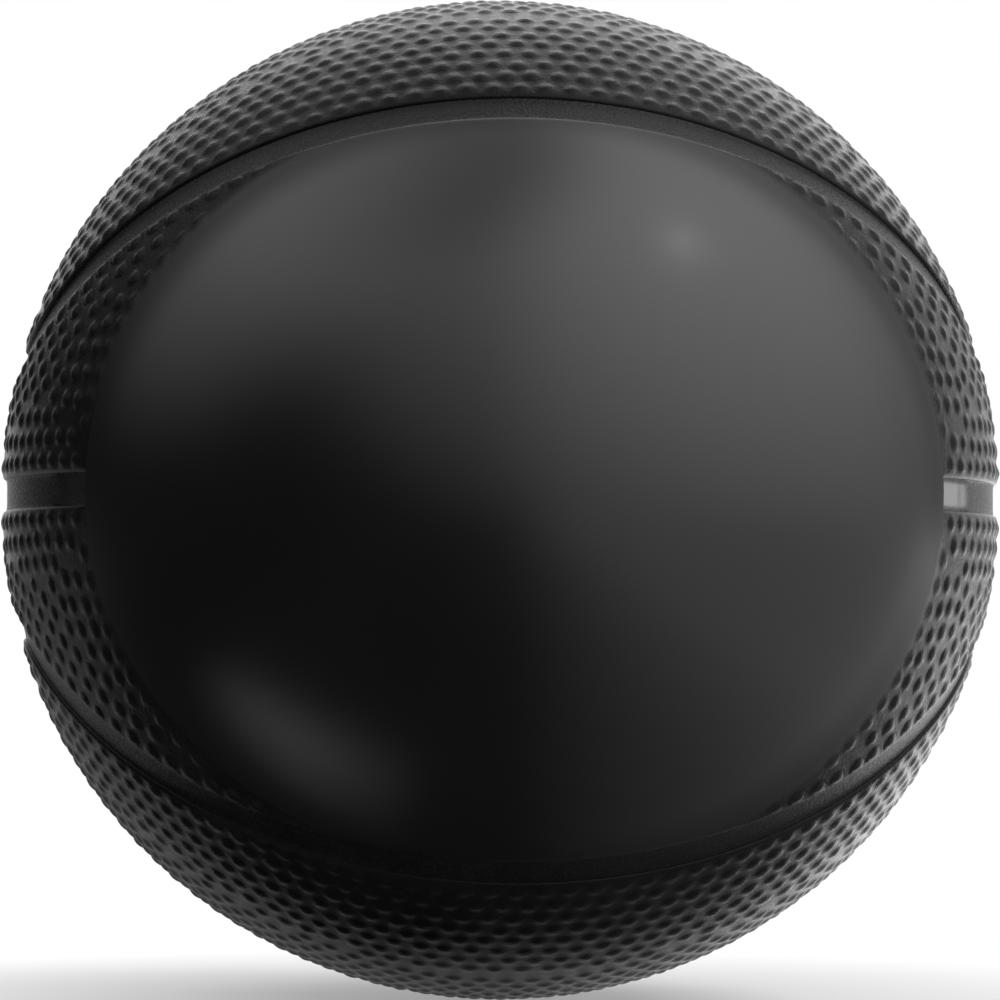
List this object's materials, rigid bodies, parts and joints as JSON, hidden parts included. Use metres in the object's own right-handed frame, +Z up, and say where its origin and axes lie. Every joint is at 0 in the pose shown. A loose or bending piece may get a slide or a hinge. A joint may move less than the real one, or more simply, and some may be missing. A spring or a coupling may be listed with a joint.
{
  "type": "mini basketball",
  "caption": "Small inflatable rubber basketball with a pebbled cover, recessed seam channels, a smooth blank imprint oval and a needle valve on the back.",
  "frame": {"origin": "centre of the ball", "axes": "+Z up, through the poles between the caps; -Y towards the smooth imprint oval (front), +Y towards the valve side (back); +X right as seen from the front"},
  "size_m": [0.1268, 0.1264, 0.1264],
  "materials": {
    "cover_rubber": "black moulded rubber, satin, pebbled",
    "imprint_rubber": "black moulded rubber, smooth, semi-gloss",
    "seam_rubber": "black moulded rubber, smooth, satin",
    "carcass_rubber": "dark rubber sheet, matte",
    "nylon_thread": "wound off-white nylon thread",
    "butyl_rubber": "black butyl rubber, satin",
    "valve_rubber": "black rubber, satin",
    "plug_rubber": "brown soft rubber, satin"
  },
  "bodies": {
    "root": {"upper_cap_front": "cover_rubber", "upper_cap_back": "cover_rubber", "lower_cap_front": "cover_rubber", "lower_cap_back": "cover_rubber", "upper_belt_back": "cover_rubber", "lower_belt_back": "cover_rubber", "upper_belt_front_left": "cover_rubber", "upper_belt_front_right": "cover_rubber", "lower_belt_front_left": "cover_rubber", "lower_belt_front_right": "cover_rubber", "imprint_panel": "imprint_rubber", "belt_seam_back": "seam_rubber", "belt_seam_front_left": "seam_rubber", "belt_seam_front_right": "seam_rubber", "crown_seam_upper": "seam_rubber", "crown_seam_lower": "seam_rubber", "side_seam_left": "seam_rubber", "side_seam_right": "seam_rubber", "loop_seam_upper": "seam_rubber", "loop_seam_lower": "seam_rubber", "carcass": "carcass_rubber", "nylon_winding": "nylon_thread", "bladder": "butyl_rubber", "valve_body": "valve_rubber", "valve_plug": "plug_rubber"}
  },
  "joints": []
}
